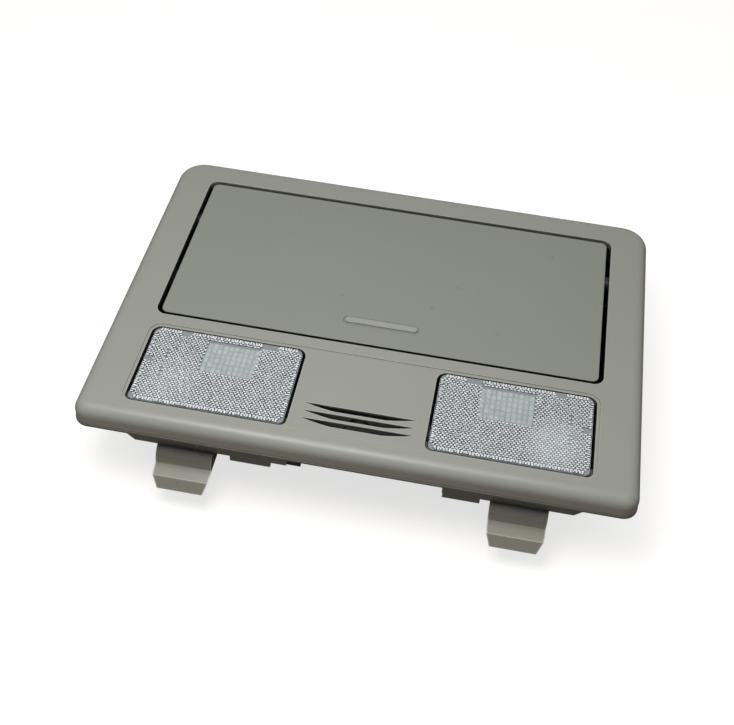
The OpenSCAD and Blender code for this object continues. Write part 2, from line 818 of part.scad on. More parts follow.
// Hooks, lamp boxes and the shallow middle are one moulding
module lamp_carrier() {
  color([0.45, 0.44, 0.4]) seat() difference() {
    union() {
      difference() {
        carrier_skin();
        carrier_hollow();
      }
      both_sides() carrier_ears();
      front_tabs();
      both_sides() hook();
      both_sides() pivot_lugs();
    }
    block(-open_w, open_w, bez_y0, 0, -face_t, past);
    both_sides() {
      rod_z(carrier_ear_x, carrier_ear_y, -case_h, 0, screw_r);
      rod_z(mid_post_x, mid_post_y, -mid_h - past, 0, screw_r);
      rod_x(box_x0 - case_t - past, box_x0 + past, bulb_y, bulb_z, holder_r);
      rod_x(holder_x0 - pass_gap, box_x0 - case_t, bulb_y, bulb_z, flange_r + pass_gap);
      rod_x(lens_x0 - skirt_t, box_x1 + case_t - 0.4, pivot_y, -pivot_drop, pivot_r + run_fit);
      prong_slots();
    }
  }
}

module carrier_skin() {
  both_sides() block(box_x0 - case_t, box_x1 + case_t, box_y0 - case_t, box_y1 + case_t, -case_h, -face_t);
  block(-box_x0, box_x0, box_y0 - case_t, box_y1 + case_t, -mid_h, -face_t);
}

// Each box is hollow from above and steps up at its inner front corner
module carrier_hollow() {
  lamp_hollow(holder_x1 - box_x0);
  mirror([1, 0, 0]) lamp_hollow(1);
  block(-box_x0 + case_t, box_x0 - case_t, box_y0, box_y1, case_t - mid_h, 0);
}

module lamp_hollow(notch_w) {
  difference() {
    block(box_x0, box_x1, box_y0, box_y1, box_z, 0);
    block(box_x0 - past, box_x0 + notch_w, box_y0 - past, notch_y, box_z - past, notch_z + case_t);
    corner_wedge(corner_cut + 1.4 * case_t);
  }
  block(0, box_x0 + notch_w - case_t, box_y0 - case_t - past, notch_y - case_t, -case_h - past, notch_z);
  corner_wedge(corner_cut);
}

// The outer lower edge of a lamp box is cut off at 45 degrees
module corner_wedge(cut) {
  translate([box_x1 + case_t, box_y1 + case_t + past, -case_h]) rotate([90, 0, 0])
    linear_extrude(window_d + 2 * (case_gap + case_t + past))
    polygon([[past, -past], [past, cut + past], [-cut - past, -past]]);
}

module carrier_ears() {
  rod_z(carrier_ear_x, carrier_ear_y, side_ear_z - ear_t, side_ear_z, ear_half);
  block(box_x1 + case_t / 2, carrier_ear_x, carrier_ear_y - ear_half, carrier_ear_y + ear_half,
    side_ear_z - ear_t, side_ear_z);
  gusset(box_x1 + case_t / 2, carrier_ear_x, carrier_ear_y, 5);
}

// The front wall reaches lower beside the middle
module front_tabs() {
  block(-win_x0 - 20.6, -win_x0 - 5.3, box_y0 - case_t, box_y0, -case_h - 2.6, box_z);
  block(win_x0 + 8.9, win_x0 + 22.8, box_y0 - case_t, box_y0, -case_h - 2.6, box_z);
}

// Lugs on the box walls hold the ends of the lens pivots
module pivot_lugs() {
  block(box_x0, lens_x0 - pass_gap, box_y0, pivot_y + 2.6, -pivot_drop - 2.6, -face_t);
  block(lens_x1 + pass_gap, box_x1 + case_t, box_y0, pivot_y + 2.6, -pivot_drop - 2.6, -face_t);
}

// Front hook: a rounded shoulder under the lip, a shelf and a chamfered tip
module hook() {
  half = hook_w / 2;
  shoulder_y = hook_y + 7.1;
  shelf_z = -hook_drop + 7;
  shoulder_r = 6.4;
  pocket_w = half - 2;
  difference() {
    along_x(hook_x - half, hook_x + half) polygon(concat(
      [[hook_back_y, box_z], [box_y0 - case_t, box_z]],
      arc(shoulder_y + shoulder_r, shelf_z, shoulder_r, 106, 180),
      [[hook_y + 2, shelf_z - 1.4], [hook_y, -hook_drop + 0.5], [hook_y + 0.6, -hook_drop],
      [hook_back_y, -hook_drop + 3.9]]));
    for (side = [-1, 1]) {
      along_x(hook_x + side * half / 2 - pocket_w / 2, hook_x + side * half / 2 + pocket_w / 2)
        polygon(concat(arc(shoulder_y + shoulder_r, shelf_z, shoulder_r - case_t, 100, 180),
          [[shoulder_y + case_t, shelf_z - 1.6], [hook_back_y + past, shelf_z - 1.6],
          [hook_back_y + past, shelf_z + shoulder_r - case_t]]));
      hook_chamfer(side);
    }
  }
}

module hook_chamfer(side) {
  half = hook_w / 2;
  translate([hook_x, hook_back_y + past, 0]) mirror([side < 0 ? 1 : 0, 0, 0]) rotate([90, 0, 0])
    linear_extrude(hook_back_y - hook_y + 2 * past)
    polygon([[half + past, -hook_drop - past], [half - 2.6, -hook_drop - past],
      [half - 2.2, -hook_drop], [half - 0.2, -hook_drop + 5.6], [half + past, -hook_drop + 9]]);
}

// Aluminised trough behind the bulb
module reflector() {
  inner_h = refl_top - refl_bottom - refl_t;
  steps = 16;
  color([0.86, 0.87, 0.88]) difference() {
    block(refl_x0, refl_x1, bulb_y - refl_half - refl_t, bulb_y + refl_half + refl_t, refl_bottom, refl_top);
    along_x(refl_x0 + refl_t, refl_x1 - refl_t) polygon([for (i = [-steps:steps])
      [bulb_y + refl_half * i / steps, refl_bottom + refl_t + (inner_h + past) * pow(i / steps, 2)]]);
    rod_x(refl_x0 - past, refl_x0 + refl_t + past, bulb_y, bulb_z, bulb_r + 0.7);
  }
}

// Clear lens that is pressed at its rear edge
module lens() {
  color([0.9, 0.93, 0.95, 0.6]) {
    window_slab(lens_x0, lens_x1, lens_y0, lens_y1, lens_gap_y, -lens_t, 0);
    intersection() {
      window_slab(lens_x0, lens_x1, lens_y0, lens_y1, lens_gap_y, -pivot_drop - 1.6, -lens_t / 2);
      for (x = [lens_x0, lens_x1 - skirt_t])
        block(x, x + skirt_t, pivot_y - 1.6, pivot_y + 1.6, -pivot_drop - 1.6 - past, 0);
    }
    rod_x(box_x0 + 0.2, lens_x0 + skirt_t, pivot_y, -pivot_drop, pivot_r);
    rod_x(lens_x1 - skirt_t, box_x1 + case_t - 0.6, pivot_y, -pivot_drop, pivot_r);
    rod_z(switch_x, switch_y, press_z, -lens_t / 2, plunger_r);
  }
}

// Glass of a wedge bulb, lying along the lamp
module bulb_glass() {
  t = 0.6;
  color([0.95, 0.95, 0.95, 0.5]) translate([holder_x1 - socket_l, bulb_y, bulb_z]) rotate([0, 90, 0])
    rotate_extrude() difference() {
      bulb_section(bulb_r, bulb_l + socket_l);
      translate([0, socket_l]) bulb_section(bulb_r - t, bulb_l - t);
    }
}

// Half outline of a bulb: a straight side and a round end
module bulb_section(r, l) {
  square([r, l - r]);
  translate([0, l - r]) edge_round(r);
}

module bulb_filament() {
  lead_r = 0.2;
  lead_y = 1.8;
  coil_x = holder_x1 + bulb_l - bulb_r - 4;
  color([0.4, 0.4, 0.42]) {
    for (side = [-1, 1]) rod_x(holder_x1, coil_x, bulb_y + side * lead_y, bulb_z, lead_r);
    translate([coil_x, bulb_y - lead_y - lead_r, bulb_z]) rotate([-90, 0, 0])
      cylinder(h = 2 * (lead_y + lead_r), r = 0.45);
  }
}

// Bulb socket pushed through the inner wall of the lamp box
module bulb_holder() {
  color([0.1, 0.1, 0.1]) difference() {
    union() {
      rod_x(holder_x0, holder_x1, bulb_y, bulb_z, holder_r);
      rod_x(holder_x0, box_x0 - case_t, bulb_y, bulb_z, flange_r);
      block(box_x0, base_x1, bulb_y - base_half, bulb_y + base_half, box_z, bulb_z);
    }
    rod_x(holder_x1 - socket_l, holder_x1 + past, bulb_y, bulb_z, bulb_r);
  }
}

module switch_body() {
  color([0.12, 0.12, 0.12]) difference() {
    block(switch_x - switch_w / 2, switch_x + switch_w / 2, switch_y - switch_d / 2, switch_y + switch_d / 2,
      box_z, switch_z);
    rod_z(switch_x, switch_y, switch_z - 5, switch_z + past, plunger_r + run_fit);
  }
}

module switch_plunger() {
  color([0.9, 0.9, 0.88]) rod_z(switch_x, switch_y, switch_z - 2.6, plunger_z, plunger_r);
}

// One flat brass strip under the boxes, drawn between two points
module strip(x0, y0, x1, y1) {
  block(min(x0, x1) - strip_w / 2, max(x0, x1) + strip_w / 2, min(y0, y1) - strip_w / 2,
    max(y0, y1) + strip_w / 2, -case_h - strip_t, -case_h);
}

module prong(x, y) {
  block(x - strip_t / 2, x + strip_t / 2, y - prong_w / 2, y + prong_w / 2, -case_h - strip_t, box_z);
}

// Places of the prongs on the right side, mirrored for the left
live_prong = [switch_x + 3, live_y];
link_prong_a = [switch_x - 3, switch_y - 2.4];
link_prong_b = [base_x1 - 1.4, bulb_y + base_half - 1];
ground_prong = [box_x0 + 1.2, bulb_y - base_half + 1.6];

module prong_slots() {
  for (p = [live_prong, link_prong_a, link_prong_b, ground_prong])
    block(p[0] - strip_t, p[0] + strip_t, p[1] - prong_w / 2 - 0.3, p[1] + prong_w / 2 + 0.3,
      -case_h - past, box_z + 0.01);
}

module bus_bar_live() {
  color([0.78, 0.62, 0.3]) seat() {
    strip(live_turn_x, pin_y, live_x, pin_y);
    strip(live_turn_x, pin_y, live_turn_x, live_y);
    strip(live_turn_x, live_y, live_prong[0], live_y);
    both_sides() prong(live_prong[0], live_prong[1]);
  }
}

module bus_bar_ground() {
  color([0.78, 0.62, 0.3]) seat() {
    strip(ground_x, pin_y, ground_x, ground_prong[1]);
    strip(-ground_prong[0], ground_prong[1], ground_prong[0], ground_prong[1]);
    both_sides() prong(ground_prong[0], ground_prong[1]);
  }
}

module bulb_link() {
  color([0.78, 0.62, 0.3]) {
    strip(link_prong_a[0], link_prong_a[1], link_prong_a[0], link_prong_b[1]);
    strip(link_prong_a[0], link_prong_b[1], link_prong_b[0], link_prong_b[1]);
    prong(link_prong_a[0], link_prong_a[1]);
    prong(link_prong_b[0], link_prong_b[1]);
  }
}

// Plug housing, open downwards
module connector() {
  wall = 1.2;
  plug_key = 4;
  top = -case_h - strip_t;
  color([0.07, 0.07, 0.07]) seat() difference() {
    union() {
      block(plug_x0, plug_x1, plug_y0, plug_y1, plug_z, top);
      block(plug_x0, plug_x1 - plug_key, plug_y0, plug_y0 + 0.8, top - 1, -case_h);
      block(plug_x0, plug_x1 - plug_key, plug_y1 - 1.4, plug_y1, top - 1, -case_h);
    }
    block(plug_x0 + wall, plug_x1 - wall, plug_y0 + wall, plug_y1 - wall, plug_z - past, top - 1.6);
    for (x = pin_xs) pin_blade(x, 0);
  }
}

module pin_blade(x, grow) {
  block(x - 0.3 - grow, x + 0.3 + grow, pin_y - 0.8 - grow, pin_y + 0.8 + grow,
    plug_z + 2, -case_h - strip_t);
}

module connector_pins() {
  color([0.8, 0.68, 0.4]) seat() for (x = pin_xs) pin_blade(x, 0);
}

module housing_screws() {
  color([0.7, 0.7, 0.7]) seat() both_sides() for (y = side_ear_y)
    translate([side_ear_x, y, 0]) screw(side_ear_z - ear_t, -face_t - 1);
}

module carrier_screws() {
  color([0.7, 0.7, 0.7]) seat() both_sides() {
    translate([carrier_ear_x, carrier_ear_y, 0]) screw(side_ear_z - ear_t, -face_t - 1);
    translate([mid_post_x, mid_post_y, 0]) screw(-mid_h, -face_t - 2);
  }
}

// Bent spring steel strip round a post of the panel, with a barb at its rear leg
module rear_clip() {
  post = clip_post_t / 2;
  y0 = clip_y - post;
  y1 = clip_y + post;
  color([0.62, 0.63, 0.64]) along_x(clip_x - clip_w / 2 + 1, clip_x + clip_w / 2 - 1) difference() {
    union() {
      translate([y0 - clip_t, -clip_h - clip_t]) square([clip_post_t + 2 * clip_t, clip_h - 4]);
      polygon([[y1, -clip_h - clip_t], [y1 + clip_t, -clip_h - clip_t], [y1 + 2.6, -clip_h + 4.5],
        [y1 + 1.2, -clip_h + 8], [y1 + 0.7, -clip_h + 7.8], [y1 + 1.9, -clip_h + 4.5], [y1, -clip_h + 1]]);
    }
    translate([y0, -clip_h]) square([clip_post_t, clip_h]);
  }
}

module microphone() {
  color([0.6, 0.61, 0.62]) seat()
    rod_z(0, boot_y, case_t - mid_h + boot_t, case_t - mid_h + boot_t + mic_h, mic_r);
}

// Rubber boot between the grille and the carrier, with a pocket for the capsule
module mic_boot() {
  z0 = case_t - mid_h;
  color([0.05, 0.05, 0.05]) seat() difference() {
    block(-boot_w / 2, boot_w / 2, boot_y - boot_d / 2, boot_y + boot_d / 2, z0, -face_t);
    block(boot_t - boot_w / 2, boot_w / 2 - boot_t, boot_y - boot_d / 2 + boot_t,
      boot_y + boot_d / 2 - boot_t, -face_t - 2.4, 0);
    rod_z(0, boot_y, z0 + boot_t, 0, mic_r);
  }
}

bezel();
glasses_door();
glasses_tray();
tray_mat();
bin_housing();
seat() mirror([1, 0, 0]) hinge_pin();  // hinge_pin_left
seat() hinge_pin();  // hinge_pin_right
door_spring();
damper_body();
damper_gear();
latch_body();
latch_plunger();
seat() mirror([1, 0, 0]) bumper();  // bumper_left
seat() bumper();  // bumper_right
door_screws();
housing_screws();
lamp_carrier();
seat() mirror([1, 0, 0]) reflector();  // reflector_left
seat() reflector();  // reflector_right
seat() mirror([1, 0, 0]) lens();  // lens_left
seat() lens();  // lens_right
seat() mirror([1, 0, 0]) bulb_glass();  // bulb_glass_left
seat() bulb_glass();  // bulb_glass_right
seat() mirror([1, 0, 0]) bulb_filament();  // bulb_filament_left
seat() bulb_filament();  // bulb_filament_right
seat() mirror([1, 0, 0]) bulb_holder();  // bulb_holder_left
seat() bulb_holder();  // bulb_holder_right
seat() mirror([1, 0, 0]) switch_body();  // switch_body_left
seat() switch_body();  // switch_body_right
seat() mirror([1, 0, 0]) switch_plunger();  // switch_plunger_left
seat() switch_plunger();  // switch_plunger_right
bus_bar_live();
bus_bar_ground();
seat() mirror([1, 0, 0]) bulb_link();  // bulb_link_left
seat() bulb_link();  // bulb_link_right
connector();
connector_pins();
carrier_screws();
seat() mirror([1, 0, 0]) rear_clip();  // rear_clip_left
seat() rear_clip();  // rear_clip_right
microphone();
mic_boot();
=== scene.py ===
import math

import bmesh
import bpy
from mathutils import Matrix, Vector


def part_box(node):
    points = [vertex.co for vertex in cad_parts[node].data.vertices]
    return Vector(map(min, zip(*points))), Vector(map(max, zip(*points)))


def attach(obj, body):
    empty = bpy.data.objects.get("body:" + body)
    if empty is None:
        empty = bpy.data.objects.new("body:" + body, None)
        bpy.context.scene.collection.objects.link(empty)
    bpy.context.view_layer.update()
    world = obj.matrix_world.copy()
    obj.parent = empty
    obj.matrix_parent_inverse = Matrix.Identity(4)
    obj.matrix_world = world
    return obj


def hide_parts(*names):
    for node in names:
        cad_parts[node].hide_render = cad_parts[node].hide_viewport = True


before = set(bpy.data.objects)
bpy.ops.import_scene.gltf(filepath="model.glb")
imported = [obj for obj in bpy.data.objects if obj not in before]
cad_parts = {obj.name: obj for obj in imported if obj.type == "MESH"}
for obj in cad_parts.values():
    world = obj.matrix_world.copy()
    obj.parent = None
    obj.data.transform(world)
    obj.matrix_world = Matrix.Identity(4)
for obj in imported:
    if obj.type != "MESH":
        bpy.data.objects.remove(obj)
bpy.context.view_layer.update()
scene = bpy.context.scene
MM = 0.001

# The studio. The light lies face up on a white table under one soft lamp that
# hangs close over its front left corner, with a weak one far behind it. The camera
# looks down on it at 47 degrees through a 58.5 mm lens, as the photograph does.
eye = bpy.data.objects.new("studio_camera", bpy.data.cameras.new("studio_camera"))
eye.data.sensor_width = 36.0
eye.data.lens = 58.534
eye.data.clip_start = 0.02
eye.data.clip_end = 20.0
eye.location = (0.036049, -0.333956, 0.371619)
eye.rotation_euler = (math.radians(43.21596), math.radians(-2.88916), math.radians(10.13371))
scene.collection.objects.link(eye)
scene.camera = eye
scene.view_settings.view_transform = "Standard"

lit_point = Vector((0.0, 0.0, 0.03))
for name, place, width, watts in (
    ("lamp_over_front", (-0.06, -0.16, 0.43), 0.2, 1.38),
    ("lamp_behind", (0.20, 0.45, 1.10), 0.90, 0.4),
):
    lamp = bpy.data.objects.new(name, bpy.data.lights.new(name, "AREA"))
    lamp.data.shape = "DISK"
    lamp.data.size = width
    lamp.data.energy = watts
    lamp.location = place
    lamp.rotation_euler = (lit_point - Vector(place)).to_track_quat("-Z", "Y").to_euler()
    lamp.visible_camera = False
    scene.collection.objects.link(lamp)


def add_node(tree, kind, put=None, **settings):
    """Adds a node: settings are its own, put gives its inputs a value or a link."""
    node = tree.nodes.new(kind)
    for key, value in settings.items():
        setattr(node, key, value)
    for key, value in (put or {}).items():
        if isinstance(value, bpy.types.NodeSocket):
            tree.links.new(value, node.inputs[key])
        else:
            node.inputs[key].default_value = value
    return node


def linear(code):
    """An sRGB hex colour as linear red, green, blue and alpha."""
    parts = [int(code[i : i + 2], 16) / 255 for i in (0, 2, 4)]
    return (*[c / 12.92 if c <= 0.04045 else ((c + 0.055) / 1.055) ** 2.4 for c in parts], 1.0)


def seen_rays(tree, also):
    """1 for the camera's own rays and those of one more kind, which show the studio's white."""
    path = add_node(tree, "ShaderNodeLightPath")
    return add_node(tree, "ShaderNodeMath", {0: path.outputs["Is Camera Ray"],
                    1: path.outputs[also]}, operation="MAXIMUM").outputs[0]


room = bpy.data.worlds.new("studio_room")
room.use_nodes = True
tree = room.node_tree
tree.nodes.clear()
way = add_node(tree, "ShaderNodeTexCoord").outputs["Generated"]
up = add_node(tree, "ShaderNodeSeparateXYZ", {0: way}).outputs["Z"]
sky = add_node(tree, "ShaderNodeMapRange", {"Value": up, "To Min": 0.06, "To Max": 0.36})
level = add_node(tree, "ShaderNodeMapRange", {"Value": seen_rays(tree, "Is Glossy Ray"),
                 "To Min": sky.outputs[0], "To Max": 1.0})
glow = add_node(tree, "ShaderNodeBackground", {"Strength": level.outputs[0]})
add_node(tree, "ShaderNodeOutputWorld", {"Surface": glow.outputs[0]})
scene.world = room

# Matt white board. The studio burns it out to plain white, but for the soft shadow that
# gathers where the part hides the sky from it.
white_table = bpy.data.materials.new("white_table")
white_table.use_nodes = True
tree = white_table.node_tree
tree.nodes.clear()
own = add_node(tree, "ShaderNodeBsdfDiffuse", {"Color": linear("9C9790")})
open_sky = add_node(tree, "ShaderNodeAmbientOcclusion", {"Distance": 60.0 * MM}, samples=8)
full = add_node(tree, "ShaderNodeMapRange", {"Value": open_sky.outputs["AO"], "From Min": 0.25,
                "From Max": 0.95, "To Min": 0.7, "To Max": 0.87}).outputs[0]
level = add_node(tree, "ShaderNodeMapRange", {"Value": seen_rays(tree, "Is Transmission Ray"),
                 "To Min": 0.0, "To Max": full})
glow = add_node(tree, "ShaderNodeEmission", {"Strength": level.outputs[0]})
both = add_node(tree, "ShaderNodeAddShader", {0: own.outputs[0], 1: glow.outputs[0]})
add_node(tree, "ShaderNodeOutputMaterial", {"Surface": both.outputs[0]})

table_half = 4.0
table_drop = 0.2 * MM
flat = bmesh.new()
bmesh.ops.create_grid(flat, x_segments=1, y_segments=1, size=table_half)
bmesh.ops.translate(flat, verts=flat.verts, vec=(0.0, 0.0, -table_drop))
floor = bpy.data.objects.new("floor", bpy.data.meshes.new("floor"))
flat.to_mesh(floor.data)
flat.free()
floor.data.materials.append(white_table)
scene.collection.objects.link(floor)


# Face panel. The frame that meets the roof lining is one injection moulding in
# pale grey ABS with a soft rolled rim and a fine spark eroded grain on its face.
# The housing and the lamp carrier are screwed to its back.
def finish_called(name, code, **values):
    """A new material and its shader: a hex colour, and values by the sockets' names."""
    material = bpy.data.materials.new(name)
    material.use_nodes = True
    tree = material.node_tree
    tree.nodes.clear()
    values = {key.replace("_", " "): value for key, value in values.items()}
    shader = add_node(tree, "ShaderNodeBsdfPrincipled", {"Base Color": linear(code), **values})
    add_node(tree, "ShaderNodeOutputMaterial", {"Surface": shader.outputs[0]})
    return material, tree, shader


def tinted(material, amount, code):
    """Lays this colour over the material's own, as strongly as amount says."""
    tree = material.node_tree
    base = tree.nodes["Principled BSDF"].inputs["Base Color"]
    under = base.links[0].from_socket if base.links else tuple(base.default_value)
    # A Mix node takes its two colours at inputs 6 and 7 and gives the mixed one at output 2
    tone = add_node(tree, "ShaderNodeMix", {"Factor": amount, 6: under, 7: linear(code)},
                    data_type="RGBA")
    tree.links.new(tone.outputs[2], base)


def position(tree):
    """The place of the point that is seen, as outputs X, Y and Z."""
    where = add_node(tree, "ShaderNodeTexCoord").outputs["Object"]
    return add_node(tree, "ShaderNodeSeparateXYZ", {0: where}).outputs


def moulded(name, code, shade, roughness, grain, depth, corner=0.3 * MM, specks=0.0, edge_highlight=None,
            highlight_free_band=(0.0, 0.0), hollow_shade=None):
    """Moulded plastic: grain and depth are its texture's width and height, in metres.

    The colour drifts to shade over some 40 mm, as pigment does with the flow. corner is
    how far an edge is softened, and specks how strong the small grey marks of handling are.
    The last three paint light and shade. The edge colour is a painted highlight along its outer
    edges, left off one band: the band's middle height and half its width come next. The hollow
    colour is painted shade in its corners and under its rims.
    """
    material, tree, shader = finish_called(name, code, IOR=1.53)
    where = add_node(tree, "ShaderNodeTexCoord").outputs["Object"]
    flow = add_node(tree, "ShaderNodeTexNoise", {"Vector": where, "Scale": 1 / (40.0 * MM),
                    "Detail": 3.0})
    tinted(material, flow.outputs["Fac"], shade)
    if specks:
        # A cell every 9 mm, of which the few with a high random red hold a dot
        dust = add_node(tree, "ShaderNodeTexVoronoi", {"Vector": where, "Scale": 1 / (9.0 * MM)},
                        voronoi_dimensions="2D")
        size = add_node(tree, "ShaderNodeSeparateColor", {"Color": dust.outputs["Color"]})
        reach = add_node(tree, "ShaderNodeMapRange", {"Value": size.outputs["Red"],
                         "From Min": 0.86, "To Min": 0.0, "To Max": 0.1})
        dot = add_node(tree, "ShaderNodeMapRange", {"Value": dust.outputs["Distance"],
                       "From Min": reach.outputs[0], "From Max": 0.0, "To Max": specks})
        tinted(material, dot.outputs[0], "5A5C55")
    if edge_highlight:
        # Painted highlight: convex edges, found by ambient occlusion from inside, are made paler
        inner = add_node(tree, "ShaderNodeAmbientOcclusion", {"Distance": 0.5 * MM}, inside=True,
                         samples=6)
        in_free_band = add_node(tree, "ShaderNodeMath", {0: position(tree)["Z"], 1: highlight_free_band[0],
                             2: highlight_free_band[1]}, operation="COMPARE")
        most = add_node(tree, "ShaderNodeMath", {0: 1.0, 1: in_free_band.outputs[0]},
                        operation="SUBTRACT")
        edge_highlight_amount = add_node(tree, "ShaderNodeMapRange", {"Value": inner.outputs["AO"],
                       "From Min": 0.95, "From Max": 0.72, "To Max": most.outputs[0]})
        tinted(material, edge_highlight_amount.outputs[0], edge_highlight)
    if hollow_shade:
        # Painted shade: where ambient occlusion finds other surfaces near, the colour darkens
        outer = add_node(tree, "ShaderNodeAmbientOcclusion", {"Distance": 24.0 * MM}, samples=6)
        hollow_shade_amount = add_node(tree, "ShaderNodeMapRange", {"Value": outer.outputs["AO"],
                         "From Min": 0.65, "From Max": 0.42, "To Max": 0.92})
        tinted(material, hollow_shade_amount.outputs[0], hollow_shade)
    sheen = add_node(tree, "ShaderNodeTexNoise", {"Vector": where, "Scale": 1 / (12.0 * MM),
                     "Detail": 4.0})
    gloss = add_node(tree, "ShaderNodeMapRange", {"Value": sheen.outputs["Fac"], "From Min": 0.3,
                     "From Max": 0.7, "To Min": roughness - 0.05, "To Max": roughness + 0.05})
    tree.links.new(gloss.outputs[0], shader.inputs["Roughness"])
    soft = add_node(tree, "ShaderNodeBevel", {"Radius": corner}, samples=4)
    pits = add_node(tree, "ShaderNodeTexNoise", {"Vector": where, "Scale": 1 / grain,
                    "Detail": 2.0})
    relief = add_node(tree, "ShaderNodeBump", {"Height": pits.outputs["Fac"], "Distance": depth,
                      "Strength": 1.0, "Normal": soft.outputs[0]})
    tree.links.new(relief.outputs[0], shader.inputs["Normal"])
    return material


def wears(material, *nodes):
    """Gives these CAD nodes this material."""
    for node in nodes:
        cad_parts[node].data.materials.clear()
        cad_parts[node].data.materials.append(material)


# Spark eroded ABS: dull, with a grain of 0.5 mm that only softens the light. Its edges are
# painted paler as a highlight, its corners and undercuts painted darker as shade, its walls turn
# browner downwards, and their foot is painted dark as shade.
face_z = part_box("bezel")[1].z
face_abs = moulded("face_abs_spark_grain", "9A9B92", "95968C", 0.43, 0.5 * MM, 0.02 * MM,
                   edge_highlight="A9ABA1", highlight_free_band=(face_z - 8.0 * MM, 4.0 * MM), hollow_shade="23231A")
tree = face_abs.node_tree
height = position(tree)["Z"]
low = add_node(tree, "ShaderNodeMapRange", {"Value": height, "From Min": face_z - 2.0 * MM,
               "From Max": face_z - 6.0 * MM})
# Painted shade: the foot of the wall, round its bead, is darkened
foot_shade = add_node(tree, "ShaderNodeMapRange", {"Value": height, "From Min": face_z - 7.6 * MM,
                "From Max": face_z - 8.1 * MM, "To Max": 0.8})
tinted(face_abs, low.outputs[0], "948F83")
tinted(face_abs, foot_shade.outputs[0], "4C4A40")
wears(face_abs, "bezel")

# Glasses bin. The door is a moulded ABS panel whose finger bar is part of it; four
# screws hold the open tray behind it, and a felt mat lies on the tray's floor.

# Fine grained ABS: even and dull, a shade greener than the face, with a few grey marks. The
# finger bar's top is paler, and the fillet round the panel's edge is painted dark as shade from
# the gap round it.
door_abs = moulded("door_abs_fine_grain", "8C8F84", "888B81", 0.46, 0.4 * MM, 0.008 * MM,
                   corner=0.5 * MM, specks=0.5)
tree = door_abs.node_tree
at = position(tree)
bar_top_paler = add_node(tree, "ShaderNodeMapRange", {"Value": at["Z"], "From Min": face_z + 0.15 * MM,
                  "From Max": face_z + 0.35 * MM})
# Behind the front edge the height counts as more, so that the bar's groove stays free of the
# painted shade
front_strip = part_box("glasses_door")[0].y + 2.5 * MM
behind = add_node(tree, "ShaderNodeMath", {0: at["Y"], 1: front_strip}, operation="GREATER_THAN")
lifted = add_node(tree, "ShaderNodeMath", {0: behind.outputs[0], 1: 0.25 * MM, 2: at["Z"]},
                  operation="MULTIPLY_ADD")
# Painted shade: the band of the door's rolled edge that the gap hides is darkened
rim = add_node(tree, "ShaderNodeMapRange", {"Value": at["Z"], "From Min": face_z - 1.3 * MM,
               "From Max": face_z - 1.0 * MM})
gap_edge_shade = add_node(tree, "ShaderNodeMapRange", {"Value": lifted.outputs[0],
                 "From Min": face_z - 0.03 * MM, "From Max": face_z - 0.28 * MM,
                 "To Max": rim.outputs[0]})
tinted(door_abs, bar_top_paler.outputs[0], "9D9F94")
tinted(door_abs, gap_edge_shade.outputs[0], "23241F")
wears(door_abs, "glasses_door")

# Smooth ABS: the tray's walls have a soft shine and no grain to speak of.
tray_abs = moulded("tray_abs_smooth", "6E706A", "696B66", 0.38, 0.8 * MM, 0.004 * MM)
wears(tray_abs, "glasses_tray")

# Needled felt: near black and without a highlight, its nap greyer at a slant.
felt, tree, shader = finish_called("needled_felt", "161617", Roughness=0.95, Sheen_Weight=0.35,
                                   Sheen_Roughness=0.6)
where = add_node(tree, "ShaderNodeTexCoord").outputs["Object"]
pile = add_node(tree, "ShaderNodeTexNoise", {"Vector": where, "Scale": 1 / (0.35 * MM),
                "Detail": 4.0})
tinted(felt, pile.outputs["Fac"], "303031")
bump = add_node(tree, "ShaderNodeBump", {"Height": pile.outputs["Fac"], "Distance": 0.3 * MM})
tree.links.new(bump.outputs[0], shader.inputs["Normal"])
wears(felt, "tray_mat")


# Housing and its hardware. The black polypropylene shell that the tray swings into
# carries turned steel hinge pins, a torsion spring, an oil damper with an acetal
# gear, a push latch and two rubber stops; zinc plated screws go up into the panel.
def metal(name, code, roughness, line, depth):
    """Bare metal with fine marks a line wide and a depth deep, and a slight cloudy tarnish."""
    material, tree, shader = finish_called(name, code, Metallic=1.0)
    where = add_node(tree, "ShaderNodeTexCoord").outputs["Object"]
    marks = add_node(tree, "ShaderNodeTexNoise", {"Vector": where, "Scale": 1 / line,
                     "Detail": 3.0})
    tarnish = add_node(tree, "ShaderNodeTexNoise", {"Vector": where, "Scale": 1 / (6.0 * MM),
                       "Detail": 3.0})
    gloss = add_node(tree, "ShaderNodeMapRange", {"Value": tarnish.outputs["Fac"],
                     "From Min": 0.3, "From Max": 0.7, "To Min": roughness - 0.07,
                     "To Max": roughness + 0.1})
    tree.links.new(gloss.outputs[0], shader.inputs["Roughness"])
    value = add_node(tree, "ShaderNodeMapRange", {"Value": tarnish.outputs["Fac"],
                     "To Min": 0.9, "To Max": 1.08})
    tone = add_node(tree, "ShaderNodeHueSaturation", {"Color": linear(code),
                    "Value": value.outputs[0]})
    tree.links.new(tone.outputs[0], shader.inputs["Base Color"])
    bump = add_node(tree, "ShaderNodeBump", {"Height": marks.outputs["Fac"], "Distance": depth})
    tree.links.new(bump.outputs[0], shader.inputs["Normal"])
    return material


# Polypropylene: a waxy dark grey whose ribs show by their outer edges, painted paler as a
# highlight.
housing_pp = moulded("housing_polypropylene", "2B2B2A", "252525", 0.42, 0.7 * MM, 0.01 * MM,
                     edge_highlight="4A4A48")
# Nylon: plain dull black.
black_nylon = moulded("black_nylon", "111112", "161617", 0.45, 0.6 * MM, 0.004 * MM)
# Acetal: creamy white with a soft, slippery shine.
acetal = moulded("white_acetal", "DEDBD0", "D6D3C8", 0.3, 0.6 * MM, 0.003 * MM)
# Moulded rubber: black and quite matt.
rubber = moulded("matt_rubber", "201F1B", "272622", 0.75, 0.3 * MM, 0.01 * MM)
# Zinc plate: a cool and slightly cloudy shine.
zinc = metal("zinc_plated_steel", "B9BBBC", 0.32, 0.25 * MM, 0.003 * MM)
# Ground steel: bright, with marks too fine to tell apart.
ground_steel = metal("ground_steel", "C4C4C2", 0.25, 0.1 * MM, 0.002 * MM)
